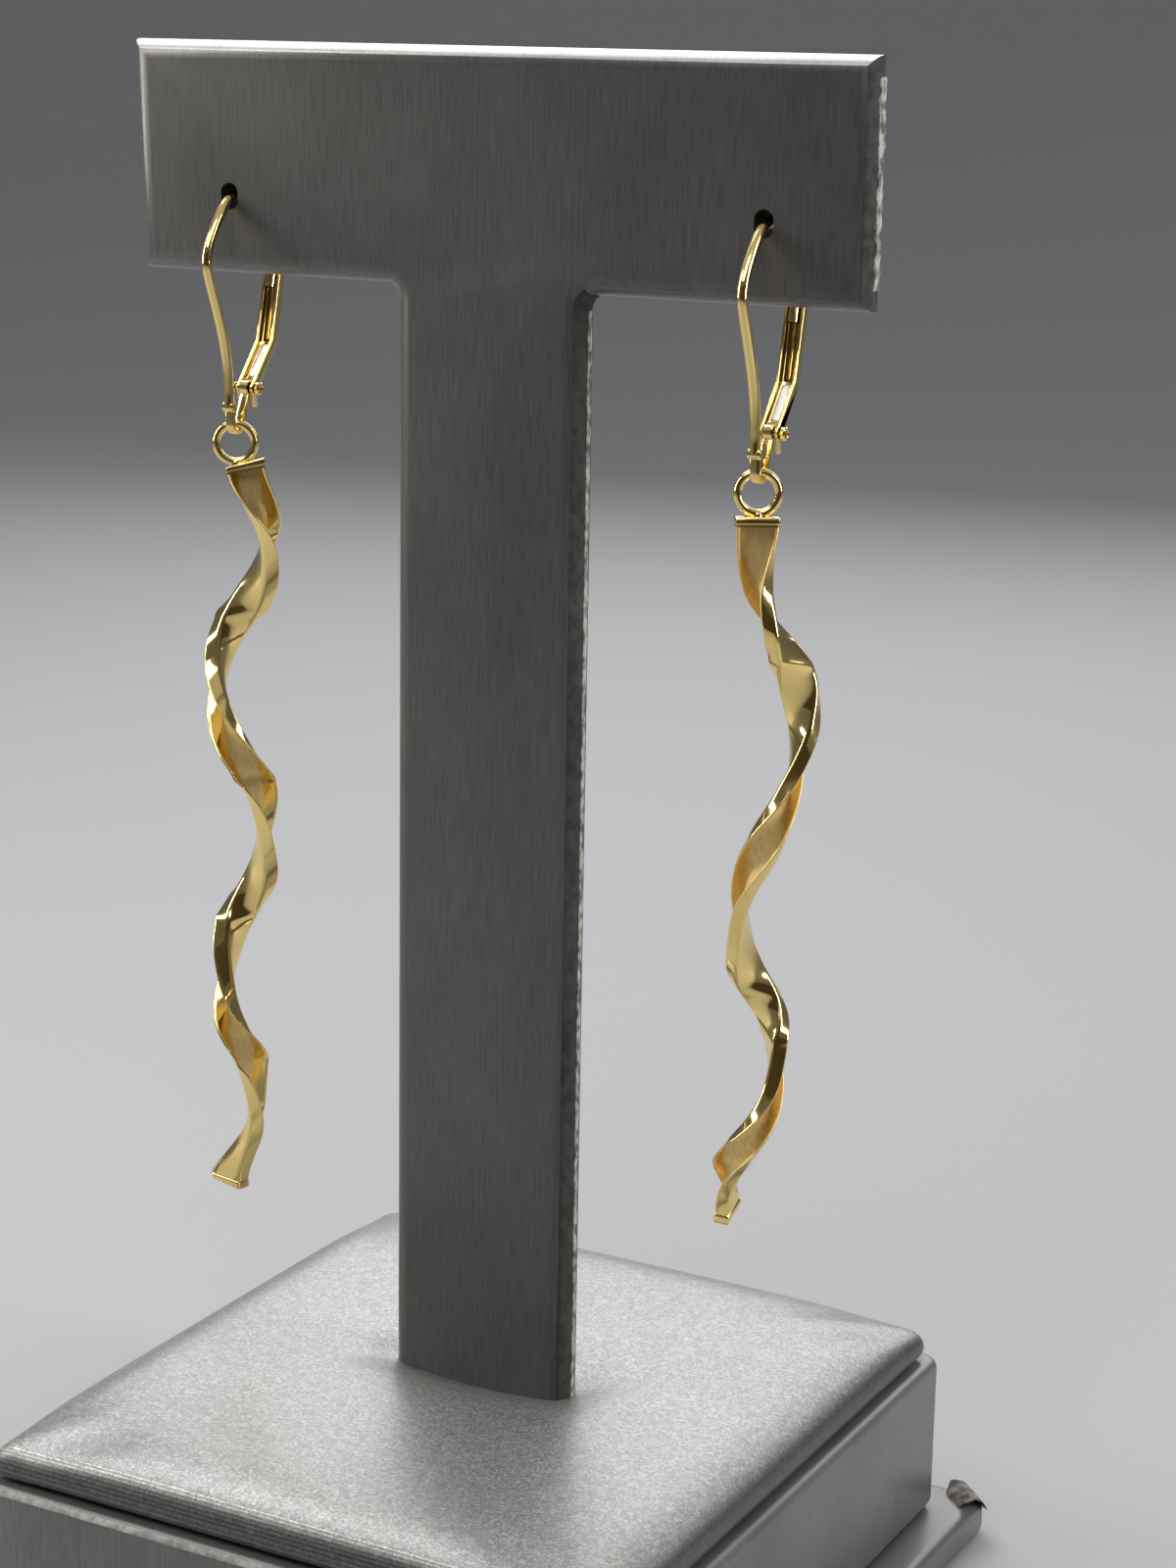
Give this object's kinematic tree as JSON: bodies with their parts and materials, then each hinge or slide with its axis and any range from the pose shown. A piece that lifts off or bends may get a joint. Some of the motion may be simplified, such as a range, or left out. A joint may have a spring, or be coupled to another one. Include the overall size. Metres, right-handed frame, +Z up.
{
  "type": "pair of dangle earrings on a T-bar stand",
  "caption": "Lever-back dangle earrings with spirally wound channel ribbons, hung through the punched arms of a wrapped T-bar stand on a padded square base.",
  "frame": {"origin": "middle of the plinth's underside", "axes": "+Z up; X along the crossbar; the front, with the drops' open hooks, faces -Y"},
  "size_m": [0.0524, 0.056, 0.1044],
  "materials": {
    "wrap_dark": "dark warm grey leatherette with fine upright streaks",
    "wrap_light": "mid grey speckled leatherette, padded on top",
    "polished_gold": "polished yellow gold",
    "satin_gold": "yellow gold, satin floor with polished edges"
  },
  "bodies": {
    "stand": {"stand_plinth": "wrap_light", "stand_block": "wrap_light", "stand_pad": "wrap_light", "stand_t_plate": "wrap_dark", "ear_hook_left": "polished_gold", "ear_hook_right": "polished_gold", "hinge_pin_left": "polished_gold", "hinge_pin_right": "polished_gold"},
    "left_lever": {"lever_left": "polished_gold"},
    "right_lever": {"lever_right": "polished_gold"},
    "left_drop": {"drop_left": "satin_gold"},
    "right_drop": {"drop_right": "satin_gold"}
  },
  "joints": [
    {"name": "left_lever_hinge", "type": "hinge", "parent": "stand", "child": "left_lever", "pos_m": [-0.0191, 0.00112, 0.0822], "axis": [-1, 0, 0], "range_deg": [0, 70]},
    {"name": "right_lever_hinge", "type": "hinge", "parent": "stand", "child": "right_lever", "pos_m": [0.01885, 0.00112, 0.08214], "axis": [-1, 0, 0], "range_deg": [0, 70]},
    {"name": "left_drop_swing", "type": "hinge", "parent": "stand", "child": "left_drop", "pos_m": [-0.0191, -0.00023, 0.07997], "axis": [1, 0, 0], "range_deg": [-40, 40]},
    {"name": "right_drop_swing", "type": "hinge", "parent": "stand", "child": "right_drop", "pos_m": [0.01885, -0.00023, 0.07991], "axis": [1, 0, 0], "range_deg": [-40, 40]}
  ]
}
